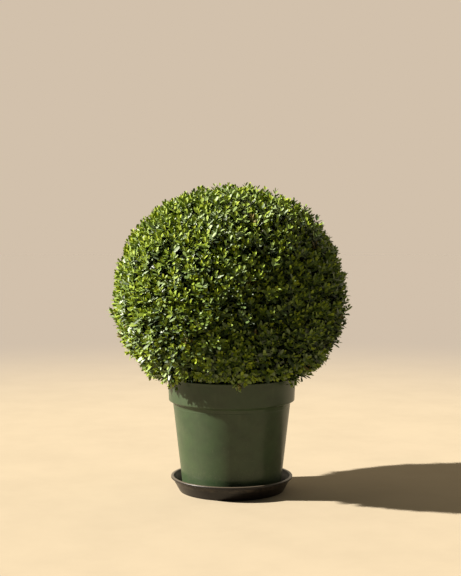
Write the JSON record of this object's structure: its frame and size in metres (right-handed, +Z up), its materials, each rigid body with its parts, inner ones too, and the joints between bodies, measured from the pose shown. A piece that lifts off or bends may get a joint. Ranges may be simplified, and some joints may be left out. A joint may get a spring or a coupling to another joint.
{
  "type": "box topiary ball in pot",
  "caption": "Clipped box ball on a short stem in a tapered green plastic pot with a rim band, standing on a dark round drip saucer.",
  "frame": {"origin": "middle of the saucer's flat underside, at ground level", "axes": "+Z up along the pot's axis; +X to the right in the reference view, which looks along +Y"},
  "size_m": [0.5082, 0.503, 0.6639],
  "materials": {
    "saucer_plastic": "weathered near-black plastic, semi-matt",
    "pot_plastic": "satin dark green moulded plastic",
    "compost": "moist dark potting compost",
    "bark": "pale grey-brown box bark",
    "foliage": "small glossy evergreen leaves on green-brown twigs"
  },
  "bodies": {
    "root": {"saucer": "saucer_plastic", "pot": "pot_plastic", "soil": "compost", "trunk": "bark", "foliage_ball": "foliage"}
  },
  "joints": []
}
